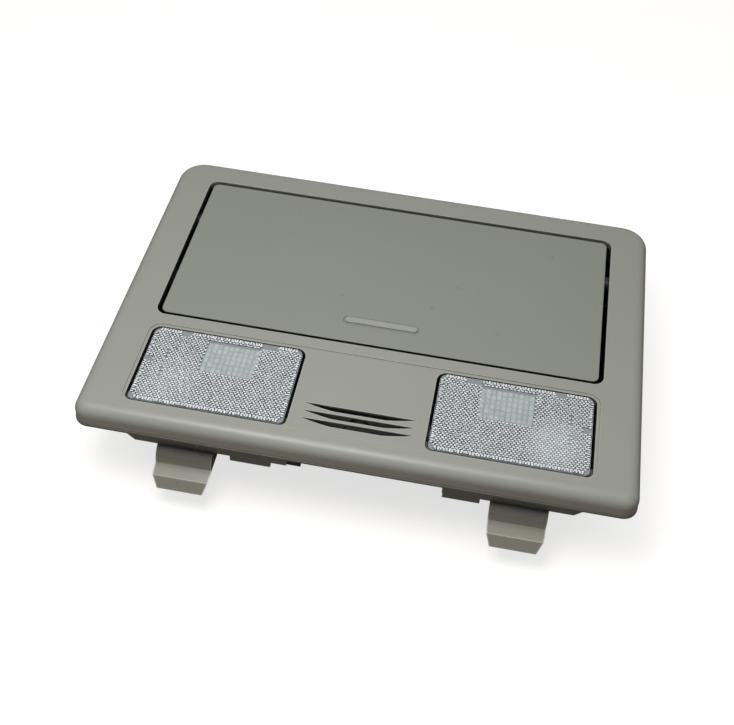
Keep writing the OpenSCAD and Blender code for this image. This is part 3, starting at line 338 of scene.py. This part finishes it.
# Spring steel: the same but darker, from its tempering.
spring_steel = metal("spring_steel", "9A9A9C", 0.3, 0.1 * MM, 0.002 * MM)
wears(housing_pp, "bin_housing")
wears(ground_steel, "hinge_pin_left", "hinge_pin_right")
wears(spring_steel, "door_spring", "rear_clip_left", "rear_clip_right")
wears(black_nylon, "damper_body", "latch_body")
wears(acetal, "damper_gear", "latch_plunger")
wears(rubber, "bumper_left", "bumper_right")
wears(zinc, "housing_screws", "door_screws", "carrier_screws")

# Lamp carrier and lamps. Hooks, lamp boxes and the shallow middle are one grey
# ABS moulding; each box holds an aluminised trough, a glass wedge bulb in a black
# holder and a push switch, wired by stamped brass strips to a plug socket below.

# Smooth ABS: shinier than the face, its edges painted pale as a highlight and its corners
# painted darker as shade. The hooks' shoulders, close under the rim, are painted browner as
# shade.
carrier_abs = moulded("carrier_abs_smooth", "989689", "918F83", 0.3, 0.8 * MM, 0.005 * MM,
                      corner=0.6 * MM, edge_highlight="D8D8D0", hollow_shade="33342D")
tree = carrier_abs.node_tree
# Painted shade: the hooks' shoulders under the rim are darkened
shoulder_shade = add_node(tree, "ShaderNodeMapRange", {"Value": position(tree)["Z"],
                    "From Min": face_z - 26.0 * MM, "From Max": face_z - 23.0 * MM,
                    "To Max": 0.6})
tinted(carrier_abs, shoulder_shade.outputs[0], "58574B")
# Aluminium film on smooth plastic: a near mirror, hardly clouded.
mirror_coat = metal("vapour_coated_aluminium", "DDE0E2", 0.14, 0.8 * MM, 0.002 * MM)
# Stamped brass: warm yellow, dulled by handling.
brass = metal("stamped_brass", "C9A35A", 0.3, 0.15 * MM, 0.003 * MM)
# Drawn tungsten wire: dark grey and satin.
tungsten = metal("drawn_tungsten", "6B6B70", 0.4, 0.1 * MM, 0.002 * MM)
wears(carrier_abs, "lamp_carrier")
wears(mirror_coat, "reflector_left", "reflector_right")
wears(black_nylon, "bulb_holder_left", "bulb_holder_right", "switch_body_left",
      "switch_body_right", "connector")
wears(acetal, "switch_plunger_left", "switch_plunger_right")
wears(brass, "bus_bar_live", "bus_bar_ground", "bulb_link_left", "bulb_link_right",
      "connector_pins")
wears(tungsten, "bulb_filament_left", "bulb_filament_right")

# Soda lime glass: clear, with faint draw waves 4 mm apart that bend what is behind it.
bulb_glass, tree, shader = finish_called("soda_lime_glass", "F6FAFA", Roughness=0.02, IOR=1.52,
                                         Transmission_Weight=1.0)
where = add_node(tree, "ShaderNodeTexCoord").outputs["Object"]
draw = add_node(tree, "ShaderNodeTexNoise", {"Vector": where, "Scale": 1 / (4.0 * MM)})
bump = add_node(tree, "ShaderNodeBump", {"Height": draw.outputs["Fac"], "Distance": 0.02 * MM})
tree.links.new(bump.outputs[0], shader.inputs["Normal"])
wears(bulb_glass, "bulb_glass_left", "bulb_glass_right")


# Lenses. Each is a clear acrylic plate on two pivots whose optics spread the light:
# staggered small pyramids, a coarser square field over the bulb, a ribbed rim, and
# plain spots where the mould's gates and the pivots are.
def grown(name, tree, sizes):
    """The mesh that a Geometry Nodes tree makes with these sizes, as a plain object."""
    host = bpy.data.objects.new(name, bpy.data.meshes.new(name))
    scene.collection.objects.link(host)
    make = host.modifiers.new("make", "NODES")
    make.node_group = tree
    for item in tree.interface.items_tree:
        if item.item_type == "SOCKET" and item.in_out == "INPUT" and item.name in sizes:
            make[item.identifier] = sizes[item.name]
    seen = host.evaluated_get(bpy.context.evaluated_depsgraph_get())
    mesh = bpy.data.meshes.new_from_object(seen)
    host.modifiers.remove(make)
    host.data = mesh
    return host


optics = bpy.data.node_groups.new("lens_optics", "GeometryNodeTree")
optics.interface.new_socket("Geometry", in_out="OUTPUT", socket_type="NodeSocketGeometry")
for label, kind in (("Length", "Float"), ("Depth", "Float"), ("Corner", "Float"),
                    ("Pitch", "Float"), ("Height", "Float"), ("Band", "Float"),
                    ("Side", "Float"), ("Centre", "Vector"), ("Material", "Material"),
                    ("Cushions", "Material")):
    optics.interface.new_socket(label, in_out="INPUT", socket_type="NodeSocket" + kind)
given = add_node(optics, "NodeGroupInput").outputs
lens = add_node(optics, "ShaderNodeCombineXYZ", {"X": given["Length"],
                "Y": given["Depth"]}).outputs[0]
point = add_node(optics, "GeometryNodeInputPosition").outputs[0]
outwards = add_node(optics, "ShaderNodeCombineXYZ", {"X": given["Side"], "Y": 1.0})
turned = add_node(optics, "ShaderNodeVectorMath", {0: point, 1: outwards.outputs[0]},
                  operation="MULTIPLY").outputs[0]


def within(centre, half):
    """True where a point is in this rectangle of the lens, x outwards and y back, in mm."""
    middle = [c * MM for c in (*centre, 0.0)]
    reach = [h * MM for h in (*half, 0.0)]
    off = add_node(optics, "ShaderNodeVectorMath", {0: turned, 1: middle}, operation="SUBTRACT")
    size = add_node(optics, "ShaderNodeVectorMath", {0: off.outputs[0]}, operation="ABSOLUTE")
    over = add_node(optics, "ShaderNodeVectorMath", {0: size.outputs[0], 1: reach},
                    operation="SUBTRACT")
    parts = add_node(optics, "ShaderNodeSeparateXYZ", {0: over.outputs[0]}).outputs
    widest = add_node(optics, "ShaderNodeMath", {0: parts["X"], 1: parts["Y"]},
                      operation="MAXIMUM")
    return add_node(optics, "FunctionNodeCompare", {0: widest.outputs[0], 1: 0.0},
                    operation="LESS_THAN").outputs[0]


def beyond(margin):
    """True outside the lens's rounded outline less this margin."""
    half = add_node(optics, "ShaderNodeVectorMath", {0: lens, 1: (0.5, 0.5, 0.0)},
                    operation="MULTIPLY")
    straight = add_node(optics, "ShaderNodeVectorMath", {0: half.outputs[0], 1: given["Corner"]},
                        operation="SUBTRACT")
    size = add_node(optics, "ShaderNodeVectorMath", {0: point}, operation="ABSOLUTE")
    over = add_node(optics, "ShaderNodeVectorMath", {0: size.outputs[0],
                    1: straight.outputs[0]}, operation="SUBTRACT")
    kept = add_node(optics, "ShaderNodeVectorMath", {0: over.outputs[0], 1: (0.0, 0.0, 0.0)},
                    operation="MAXIMUM")
    level = add_node(optics, "ShaderNodeVectorMath", {0: kept.outputs[0], 1: (1.0, 1.0, 0.0)},
                     operation="MULTIPLY")
    far = add_node(optics, "ShaderNodeVectorMath", {0: level.outputs[0]}, operation="LENGTH")
    reach = add_node(optics, "ShaderNodeMath", {0: given["Corner"], 1: margin},
                     operation="SUBTRACT")
    return add_node(optics, "FunctionNodeCompare", {0: far.outputs["Value"],
                    1: reach.outputs[0]}, operation="GREATER_THAN").outputs[0]


def field(step, size, shift=(0.0, 0.0, 0.0)):
    """Points on a grid of these steps that covers this size."""
    steps = add_node(optics, "ShaderNodeVectorMath", {0: size, 1: step}, operation="DIVIDE")
    whole = add_node(optics, "ShaderNodeVectorMath", {0: steps.outputs[0]}, operation="FLOOR")
    span = add_node(optics, "ShaderNodeVectorMath", {0: whole.outputs[0], 1: step},
                    operation="MULTIPLY")
    more = add_node(optics, "ShaderNodeVectorMath", {0: whole.outputs[0], 1: (1.0, 1.0, 1.0)},
                    operation="ADD")
    width = add_node(optics, "ShaderNodeSeparateXYZ", {0: span.outputs[0]}).outputs
    count = add_node(optics, "ShaderNodeSeparateXYZ", {0: more.outputs[0]}).outputs
    grid = add_node(optics, "GeometryNodeMeshGrid", {"Size X": width["X"], "Size Y": width["Y"],
                    "Vertices X": count["X"], "Vertices Y": count["Y"]})
    return add_node(optics, "GeometryNodeTransform", {0: grid.outputs[0],
                    "Translation": shift}).outputs[0]


def planted(points, gone, shape, seed, tilt, size):
    """A four sided shape on each point that isn't gone, leaning a little its own way."""
    left = add_node(optics, "GeometryNodeDeleteGeometry", {0: points, "Selection": gone})
    squared = add_node(optics, "GeometryNodeTransform", {0: shape,
                       "Rotation": (0.0, 0.0, math.pi / 4)})
    stretched = add_node(optics, "GeometryNodeTransform", {0: squared.outputs[0], "Scale": size})
    lean = add_node(optics, "FunctionNodeRandomValue", {0: (-tilt, -tilt, 0.0),
                    1: (tilt, tilt, 0.0), "Seed": seed}, data_type="FLOAT_VECTOR")
    set_down = add_node(optics, "GeometryNodeInstanceOnPoints", {"Points": left.outputs[0],
                        "Instance": stretched.outputs[0], "Rotation": lean.outputs[0]})
    chance = add_node(optics, "FunctionNodeRandomValue", {"Seed": seed + 1}, data_type="FLOAT")
    return add_node(optics, "GeometryNodeStoreNamedAttribute", {0: set_down.outputs[0],
                    "Name": "glint", "Value": chance.outputs[1]}, domain="INSTANCE",
                    data_type="FLOAT").outputs[0]


over_bulb = within((-2.75, 7.4), (9.75, 8.2))
outer_strip = within((29.0, -9.0), (0.8, 8.5))
rear_gates = [within((-16.1, 17.1), (3.3, 1.8)), within((16.4, 17.5), (1.8, 1.4))]
pivot_spot = within((26.8, 2.2), (1.3, 1.3))
seams = [within((20.8, 5.6), (0.3, 2.3)), within((20.8, -3.4), (0.3, 3.3))]
plain = outer_strip
for also in (*rear_gates, pivot_spot, *seams):
    plain = add_node(optics, "FunctionNodeBooleanMath", {0: plain, 1: also},
                     operation="OR").outputs[0]

# Small pyramids in two grids, one between the other's points, and square cushions over
# the bulb in a coarser one. Their sizes are shares of the lens's pitch and height.
step = add_node(optics, "ShaderNodeVectorMath", {0: given["Pitch"], 1: (1.02, 1.4, 0.0)},
                operation="MULTIPLY").outputs[0]
between = add_node(optics, "ShaderNodeVectorMath", {0: step, 1: (0.5, 0.5, 0.0)},
                   operation="MULTIPLY").outputs[0]
coarse_step = add_node(optics, "ShaderNodeVectorMath", {0: given["Pitch"], 1: (1.5, 1.8, 0.0)},
                       operation="MULTIPLY").outputs[0]
fine = add_node(optics, "GeometryNodeJoinGeometry")
for shift in ((0.0, 0.0, 0.0), between):
    optics.links.new(field(step, lens, shift), fine.inputs[0])
pyramid = add_node(optics, "GeometryNodeMeshCone", {"Vertices": 4, "Depth": given["Height"]})
cushion = add_node(optics, "GeometryNodeMeshCone", {"Vertices": 4})
for cone, socket, whole, share in (
    (pyramid, "Radius Top", given["Pitch"], 0.48),
    (pyramid, "Radius Bottom", given["Pitch"], 0.68),
    (cushion, "Radius Top", given["Pitch"], 0.63),
    (cushion, "Radius Bottom", given["Pitch"], 1.05),
    (cushion, "Depth", given["Height"], 0.5),
):
    part = add_node(optics, "ShaderNodeMath", {0: whole, 1: share}, operation="MULTIPLY")
    optics.links.new(part.outputs[0], cone.inputs[socket])

# The pyramids reach a little under the teeth, and stop where the cushions are
fine_margin = add_node(optics, "ShaderNodeMath", {0: given["Band"], 1: 0.75},
                       operation="MULTIPLY").outputs[0]
fine_gone = plain
for also in (over_bulb, beyond(fine_margin)):
    fine_gone = add_node(optics, "FunctionNodeBooleanMath", {0: fine_gone, 1: also},
                         operation="OR").outputs[0]
silvery = add_node(optics, "GeometryNodeJoinGeometry")
pyramids = planted(fine.outputs[0], fine_gone, pyramid.outputs[0], seed=3, tilt=0.12,
                   size=(1.0, 0.68, 1.0))
optics.links.new(pyramids, silvery.inputs[0])
off_bulb = add_node(optics, "FunctionNodeBooleanMath", {0: over_bulb}, operation="NOT")
cushioned = planted(field(coarse_step, lens), off_bulb.outputs[0], cushion.outputs[0],
                    seed=11, tilt=0.03, size=(1.0, 1.2, 1.0))

# Long teeth along the edges, but for the corners. A step of nearly the whole width gives
# just two rows, one at each edge.
tooth_step = 1.05 * MM
tooth_top = 0.46 * MM
tooth_foot = 0.66 * MM
corners = (5.0 * MM, 6.0 * MM, 0.0)
nearly_all = 0.999
tooth = add_node(optics, "GeometryNodeMeshCone", {"Vertices": 4, "Radius Top": tooth_top,
                 "Radius Bottom": tooth_foot, "Depth": given["Height"]})
inner = add_node(optics, "ShaderNodeVectorMath", {0: lens, 1: given["Band"]},
                 operation="SUBTRACT")
short = add_node(optics, "ShaderNodeVectorMath", {0: lens, 1: corners}, operation="SUBTRACT")
for along, across, seed, size in (
    ((1.0, 0.0, 0.0), (0.0, 1.0, 0.0), 23, (1.0, 1.6, 1.0)),
    ((0.0, 1.0, 0.0), (1.0, 0.0, 0.0), 31, (1.5, 1.0, 1.0)),
):
    run = add_node(optics, "ShaderNodeVectorMath", {0: short.outputs[0], 1: along},
                   operation="MULTIPLY")
    rows = add_node(optics, "ShaderNodeVectorMath", {0: inner.outputs[0], 1: across,
                    2: run.outputs[0]}, operation="MULTIPLY_ADD")
    gaps = add_node(optics, "ShaderNodeVectorMath", {0: inner.outputs[0],
                    1: [nearly_all * a for a in across], 2: [tooth_step * a for a in along]},
                    operation="MULTIPLY_ADD")
    teeth = planted(field(gaps.outputs[0], rows.outputs[0]), plain, tooth.outputs[0],
                    seed=seed, tilt=0.25, size=size)
    optics.links.new(teeth, silvery.inputs[0])

made = add_node(optics, "GeometryNodeJoinGeometry")
for shapes, finish in ((silvery.outputs[0], given["Material"]), (cushioned, given["Cushions"])):
    placed = add_node(optics, "GeometryNodeTransform", {0: shapes,
                      "Translation": given["Centre"]})
    real = add_node(optics, "GeometryNodeRealizeInstances", {0: placed.outputs[0]})
    dressed = add_node(optics, "GeometryNodeSetMaterial", {0: real.outputs[0],
                       "Material": finish})
    optics.links.new(dressed.outputs[0], made.inputs[0])
add_node(optics, "NodeGroupOutput", {0: made.outputs[0]})


# Clear acrylic over a bright trough, all painted light: silvery points whose tops are a painted
# highlight, on a darker ground that is painted shade, painted lightest over the trough's outer
# end.
def lit_end(tree):
    """1 over the outer front of a lens, falling to 0 over the rest of it."""
    middle = (71.0 * MM, 52.0 * MM, 0.0)
    spread = (13.0 * MM, 15.0 * MM)
    where = add_node(tree, "ShaderNodeTexCoord").outputs["Object"]
    folded = add_node(tree, "ShaderNodeVectorMath", {0: where}, operation="ABSOLUTE")
    off = add_node(tree, "ShaderNodeVectorMath", {0: folded.outputs[0], 1: middle},
                   operation="SUBTRACT")
    scaled = add_node(tree, "ShaderNodeVectorMath", {0: off.outputs[0],
                      1: (1 / spread[0], 1 / spread[1], 0.0)}, operation="MULTIPLY")
    far = add_node(tree, "ShaderNodeVectorMath", {0: scaled.outputs[0]}, operation="LENGTH")
    most = add_node(tree, "ShaderNodeMapRange", {"Value": position(tree)["X"],
                    "From Min": -60.0 * MM, "From Max": 60.0 * MM, "To Min": 0.55})
    return add_node(tree, "ShaderNodeMapRange", {"Value": far.outputs["Value"], "From Min": 1.1,
                    "From Max": 0.3, "To Max": most.outputs[0]},
                    interpolation_type="SMOOTHSTEP").outputs[0]


def facing_up(tree):
    """How far a face looks up: 1 where it is level."""
    normal = add_node(tree, "ShaderNodeNewGeometry").outputs["True Normal"]
    return add_node(tree, "ShaderNodeSeparateXYZ", {0: normal}).outputs["Z"]


def faceted(name, slope, lit_slope, top, bright_top):
    """Clear acrylic whose level tops are painted bright as glints and whose slopes are painted
    darker, as the shaded ground behind them, lighter where lit_end paints light.
    """
    material, tree, shader = finish_called(name, top, Roughness=0.12, IOR=1.49,
                                           Transmission_Weight=0.1)
    glint = add_node(tree, "ShaderNodeAttribute", attribute_name="glint")
    tops = add_node(tree, "ShaderNodeMix", {"Factor": glint.outputs["Fac"], 6: linear(top),
                    7: linear(bright_top)}, data_type="RGBA")
    sides = add_node(tree, "ShaderNodeMix", {"Factor": lit_end(tree), 6: linear(slope),
                     7: linear(lit_slope)}, data_type="RGBA")
    # Painted light: faces that look up take the bright top colour, slopes the darker one
    flat = add_node(tree, "ShaderNodeMapRange", {"Value": facing_up(tree), "From Min": 0.85,
                    "From Max": 0.97})
    tone = add_node(tree, "ShaderNodeMix", {"Factor": flat.outputs[0], 6: sides.outputs[2],
                    7: tops.outputs[2]}, data_type="RGBA")
    tree.links.new(tone.outputs[2], shader.inputs["Base Color"])
    return material


acrylic = faceted("clear_acrylic", "5A6366", "A8B1B3", "E4EAEC", "FAFCFC")
# The cushions are flatter, so the eye sees an even pale grid there without glints: their painted
# tops and slopes lie close in tone.
cushions = faceted("clear_acrylic_cushions", "98A2A5", "A4AEB0", "B0B9BB", "C4CCCD")
# Where no optics stand, the polished plate shows the grey of the trough under it, painted
# lighter over the trough's outer end as its light.
plate, tree = finish_called("clear_acrylic_plate", "A1A9AD", Roughness=0.1, IOR=1.49,
                            Transmission_Weight=0.3)[:2]
tinted(plate, lit_end(tree), "BCC4C6")

# The optics take the place of the top 0.35 mm of the solid lens
relief = 0.35 * MM
same_point = 0.001 * MM
same_level = 0.01 * MM
for side, hand in ((-1.0, "left"), (1.0, "right")):
    node = "lens_" + hand
    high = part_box(node)[1]
    body = bmesh.new()
    body.from_mesh(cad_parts[node].data)
    bmesh.ops.remove_doubles(body, verts=body.verts, dist=same_point)
    top = [v for v in body.verts if v.co.z > high.z - same_level]
    bmesh.ops.translate(body, verts=top, vec=(0.0, 0.0, -relief))
    x0, x1 = min(v.co.x for v in top), max(v.co.x for v in top)
    y0, y1 = min(v.co.y for v in top), max(v.co.y for v in top)
    clear = bpy.data.objects.new(node + "_plate", bpy.data.meshes.new(node + "_plate"))
    body.to_mesh(clear.data)
    body.free()
    clear.data.materials.append(plate)
    scene.collection.objects.link(clear)
    prisms = grown(node + "_optics", optics, {
        "Length": x1 - x0, "Depth": y1 - y0, "Corner": 2.4 * MM, "Pitch": 1.36 * MM,
        "Height": relief, "Band": 1.7 * MM, "Side": side, "Material": acrylic,
        "Cushions": cushions, "Centre": ((x0 + x1) / 2, (y0 + y1) / 2, high.z - relief)})
    for piece in (clear, prisms):
        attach(piece, node)
    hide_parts(node)

# Microphone. A drawn steel capsule, its sound holes under a black cloth, sits in a
# soft rubber boot behind the three slots of the panel, away from the roof's noise.

# Drawn steel: bright sides, and on top a black woven cloth that only just shows its threads.
capsule = metal("drawn_can_steel", "A5A7A8", 0.28, 0.2 * MM, 0.002 * MM)
tree = capsule.node_tree
where = add_node(tree, "ShaderNodeTexCoord").outputs["Object"]
weave = add_node(tree, "ShaderNodeTexNoise", {"Vector": where, "Scale": 1 / (0.3 * MM)})
threads = add_node(tree, "ShaderNodeMix", {"Factor": weave.outputs["Fac"],
                   6: linear("1F1E16"), 7: linear("302E25")}, data_type="RGBA")
cloth = add_node(tree, "ShaderNodeBsdfPrincipled", {"Base Color": threads.outputs[2],
                 "Roughness": 0.9})
upper = add_node(tree, "ShaderNodeMath", {0: facing_up(tree), 1: 0.9}, operation="GREATER_THAN")
both = add_node(tree, "ShaderNodeMixShader", {0: upper.outputs[0],
                1: tree.nodes["Principled BSDF"].outputs[0], 2: cloth.outputs[0]})
tree.links.new(both.outputs[0], tree.nodes["Material Output"].inputs["Surface"])
wears(capsule, "microphone")
wears(rubber, "mic_boot")
